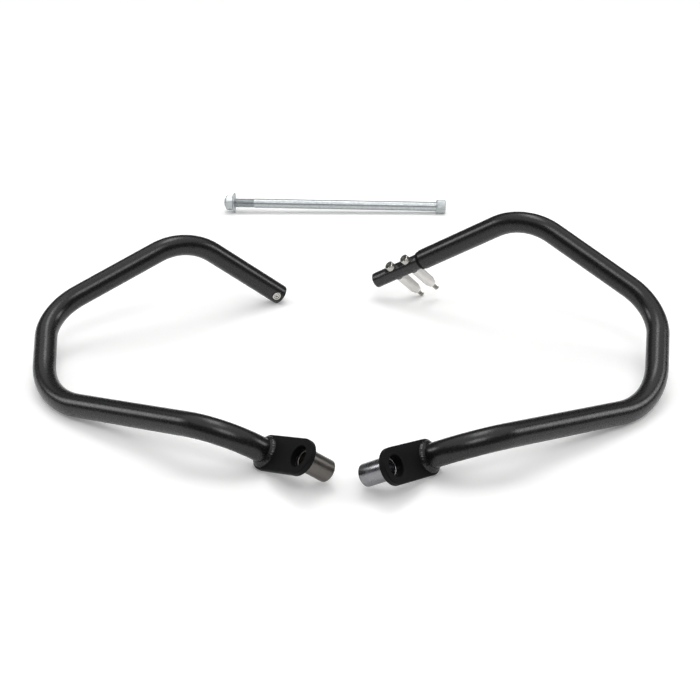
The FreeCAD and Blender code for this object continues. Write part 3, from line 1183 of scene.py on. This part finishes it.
@dataclass
class ThroughBolt:
    """Long socket-head bolt with its flange nut."""
    sides: int = 96
    shank_radius: float = 6.0
    pitch: float = 1.25
    thread_past_nut: float = 26.0
    point_edge: float = 1.0
    neck_length: float = 0.8
    neck_flare: float = 0.5
    head_radius: float = 9.0
    head_height: float = 12.0
    head_crown: Crown = ((1.0, 0.0), (0.3, 0.6), (0.0, 1.3))
    head_foot: float = 0.5
    ridge_from_top: float = 1.8
    ridge_from_seat: float = 1.6
    ridge_depth: float = 0.35
    socket_flats: float = 10.0
    socket_depth: float = 6.0
    nut_flats: float = 18.0
    nut_height: float = 12.0
    nut_inset: float = 2.0
    nut_crown: float = 0.4
    nut_edge: float = 0.35
    nut_sunk: float = 0.5
    crown_lead: float = 0.01
    bore_gap: float = 0.02
    bore_lead: float = 3.0
    flange_sides: int = 72
    flange_radius: float = 13.0
    flange_height: float = 3.0
    flange_step: float = 1.5
    flange_edge: float = 0.2
    rim_slope: float = 0.3
    face_hollow: float = 0.2
    face_width: float = 2.5
    tooth_depth: float = 0.5
    line: Spindle = field(init=False)
    length: float = field(init=False)

    def __post_init__(self) -> None:
        """Read the bolt's line, from its point to its head's top, and its length from its node."""
        point, top = long_ends("through_bolt")
        axis = (top - point).normalized()
        up = Vector((0.0, 0.0, 1.0))
        side = (up - axis * up.dot(axis)).normalized()
        self.line = Spindle(point, axis, side)
        self.length = (top - point).length / MM

    def bolt(self) -> Piece:
        """Shank with a rolled thread, and the head with grip ridges and a socket.

        Returns:
            The bolt.
        """
        top = self.length
        under = top - self.head_height
        thread_end = self.nut_inset + self.nut_height + self.thread_past_nut
        thread = Thread(self.point_edge, thread_end, self.shank_radius, self.pitch)
        head = self.head_radius
        shank = self.shank_radius
        ridge_rings = (under + self.ridge_from_seat, top - self.ridge_from_top)
        profile = [(0.0, shank - self.point_edge)]
        profile += thread.stations()
        profile += [(under - self.neck_length, shank), (under, shank + self.neck_flare),
                    (under, head - self.head_foot), (under + self.head_foot, head)]
        profile += [(station, head) for station in ridge_rings]
        profile += [(top - down, head - inward) for down, inward in self.head_crown]
        piece = lathe("through_bolt_steel", self.line, profile, self.sides)
        knurl(piece, self.line, ridge_rings, head, self.sides, self.ridge_depth)
        thread.press(piece, self.line)
        cut(piece, hex_socket(self.line, top, self.socket_flats, -self.socket_depth))
        soften(piece, 0.0)
        return piece

    def hexagon(self, flange_at: float, inside: float, bore: float) -> Piece:
        """Crowned and bored hexagon of the nut.

        Args:
            flange_at: where the flange starts along the bolt's line.
            inside: where the nut's bearing face is.
            bore: radius of its hole.
        Returns:
            The hexagon.
        """
        line = self.line
        outside = self.nut_inset
        corner = self.nut_flats / math.sqrt(3.0)
        half_side = math.pi / HEXAGON
        tilted = line.toward * math.cos(half_side) + line.axis.cross(line.toward) * math.sin(half_side)
        hexed = Spindle(line.base, line.axis, tilted)
        block = [(outside, corner), (flange_at + self.nut_sunk, corner)]
        piece = lathe("flange_nut_steel", hexed, block, HEXAGON)
        crown = self.nut_flats / 2 - self.nut_crown
        cone = [(outside - self.crown_lead, crown), (inside, crown + self.nut_height)]
        cut(piece, lathe("crown_tool", line, cone, self.sides), Cut.COMMON)
        drill = [(outside - self.bore_lead, bore), (inside, bore)]
        cut(piece, lathe("bore_tool", line, drill, self.sides))
        soften(piece, self.nut_edge)
        return piece

    def nut(self) -> Piece:
        """Hexagon joined to a flange with a toothed bearing face.

        Returns:
            The nut.
        """
        inside = self.nut_inset + self.nut_height
        flange_at = inside - self.flange_height
        bore = self.shank_radius + self.bore_gap
        piece = self.hexagon(flange_at, inside, bore)
        root = self.nut_flats / 2 + self.flange_step
        rim = self.flange_radius
        slope = self.rim_slope
        hollow = inside - self.face_hollow
        profile = [(flange_at, bore), (flange_at, root), (flange_at + self.flange_height / 2, rim),
                   (inside - slope, rim), (inside, rim - slope), (hollow, bore + self.face_width),
                   (hollow, bore), (flange_at, bore)]
        flange = lathe("flange_steel", self.line, profile, self.flange_sides, True)
        knurl(flange, self.line, (inside,), rim - slope, self.flange_sides, self.tooth_depth)
        soften(flange, self.flange_edge, 2)
        choose(piece)
        flange.select_set(True)
        bpy.ops.object.join()
        return piece

    def build(self) -> None:
        """Make the bolt and its nut, and dress them."""
        zinc = ZINC.material(self.line)
        hand_over(self.bolt(), zinc, "through_bolt", "zinc")
        hand_over(self.nut(), zinc, "flange_nut", "zinc")


# The studio

@dataclass(frozen=True)
class Lamp:
    """One soft light: its place, its size in metres and its power in watts."""
    name: str
    at: tuple[float, float, float]
    size: tuple[float, float]
    power: float

    def light(self) -> None:
        """Hang the light and point it at the middle of the floor."""
        bpy.ops.object.light_add(type="AREA", location=self.at)
        lamp = bpy.context.object
        lamp.name = self.name
        lamp.data.shape = "RECTANGLE"
        lamp.data.size, lamp.data.size_y = self.size
        lamp.data.energy = self.power
        lamp.visible_camera = False
        lamp.rotation_euler = (-Vector(self.at)).to_track_quat("-Z", "Y").to_euler()


@dataclass
class Studio:
    """Pale floor, soft light and the camera, with the floor's and the camera's places in metres."""
    target: tuple[float, float, float] = (0.000255, -0.067096, 0.0)
    distance: float = 1.1844
    elevation: float = 27.51
    lens: float = 59.14
    sensor: float = 36.0
    floor_size: float = 8.0
    floor_height: float = -0.0002
    floor_colours: tuple[str, str] = ("#f6f6f5", "#f9f9f9")
    floor_cloud: float = 400.0
    floor_detail: float = 2.0
    floor_roughness: float = 0.9
    floor_shine: float = 0.1
    fade_from: float = 1.0
    fade_to: float = 2.6
    glow: float = 0.15
    white: str = "#ffffff"
    air_strength: float = 0.11
    lamps: tuple[Lamp, ...] = (
        Lamp("overhead softbox", (0.0, 0.5, 6.0), (12.0, 10.0), 340.0),
        Lamp("overhead strip", (0.0, 1.5, 4.6), (1.3, 2.6), 46.0),
        Lamp("front softbox", (0.3, -3.0, 3.8), (2.0, 1.6), 48.0),
        Lamp("left softbox", (-4.4, 0.4, 2.3), (1.7, 1.7), 48.0),
        Lamp("right softbox", (4.4, 0.4, 2.3), (1.7, 1.7), 48.0),
    )

    def floor(self) -> None:
        """Plain pale floor under the set."""
        bpy.ops.object.select_all(action="DESELECT")
        bpy.ops.mesh.primitive_plane_add(size=self.floor_size, location=(0.0, 0.0, self.floor_height))
        floor = bpy.context.object
        floor.name = "studio_floor"
        # White acrylic that is lit from below, so that shadows on it stay light
        material, tree, place = new_material("opal acrylic light table, matte")
        cloud = add_node(tree, "TexNoise", {
            "Vector": place, "Scale": 1.0 / (self.floor_cloud * MM),
            "Detail": self.floor_detail}).outputs["Fac"]
        first, second = self.floor_colours
        tint = {0: cloud, 6: linear(first), 7: linear(second)}
        colour = add_node(tree, "Mix", tint, data_type="RGBA")
        table = add_node(tree, "BsdfPrincipled", {
            "Base Color": colour.outputs[2], "Roughness": self.floor_roughness,
            "Specular IOR Level": self.floor_shine, "Emission Color": linear(self.white),
            "Emission Strength": self.glow})
        # The far floor thins out into the white behind it, so that no horizon shows from low down
        away = add_node(tree, "VectorMath", {0: place}, operation="LENGTH").outputs["Value"]
        fade = add_node(tree, "MapRange", {
            "Value": away, "From Min": self.fade_from, "From Max": self.fade_to},
            interpolation_type="SMOOTHSTEP").outputs[0]
        clear = add_node(tree, "BsdfTransparent")
        both = add_node(tree, "MixShader", {0: fade, 1: table.outputs[0], 2: clear.outputs[0]})
        add_node(tree, "OutputMaterial", {"Surface": both.outputs[0]})
        floor.data.materials.append(material)

    def air(self) -> None:
        """Dim surroundings that light the set a little, and plain white ones behind the floor."""
        world = bpy.data.worlds.new("white studio")
        world.use_nodes = True
        tree = world.node_tree
        tree.nodes.clear()
        white = linear(self.white)
        dim = add_node(tree, "Background", {"Color": white, "Strength": self.air_strength})
        plain = add_node(tree, "Background", {"Color": white, "Strength": 1.0})
        seen = add_node(tree, "LightPath").outputs["Is Camera Ray"]
        both = add_node(tree, "MixShader", {0: seen, 1: dim.outputs[0], 2: plain.outputs[0]})
        add_node(tree, "OutputWorld", {"Surface": both.outputs[0]})
        bpy.context.scene.world = world

    def camera(self) -> None:
        """Camera in front of the set, at the photograph's angle."""
        rise = math.radians(self.elevation)
        back = Vector((0.0, -math.cos(rise), math.sin(rise)))
        bpy.ops.object.camera_add(
            location=Vector(self.target) + back * self.distance,
            rotation=(math.pi / 2 - rise, 0.0, 0.0))
        camera = bpy.context.object
        camera.name = "front camera"
        camera.data.lens = self.lens
        camera.data.sensor_width = self.sensor
        camera.data.sensor_fit = "HORIZONTAL"
        bpy.context.scene.camera = camera

    def build(self) -> None:
        """Set up the whole studio."""
        self.floor()
        self.air()
        for lamp in self.lamps:
            lamp.light()
        self.camera()
        bpy.context.scene.view_settings.view_transform = "Standard"


def main() -> None:
    """Build the set and the studio in order."""
    logging.basicConfig(level=logging.INFO)
    ClampBar(Side.LEFT).build()
    PinnedBar(Side.RIGHT).build()
    ThroughBolt().build()
    Studio().build()


if __name__ == "__main__":
    main()
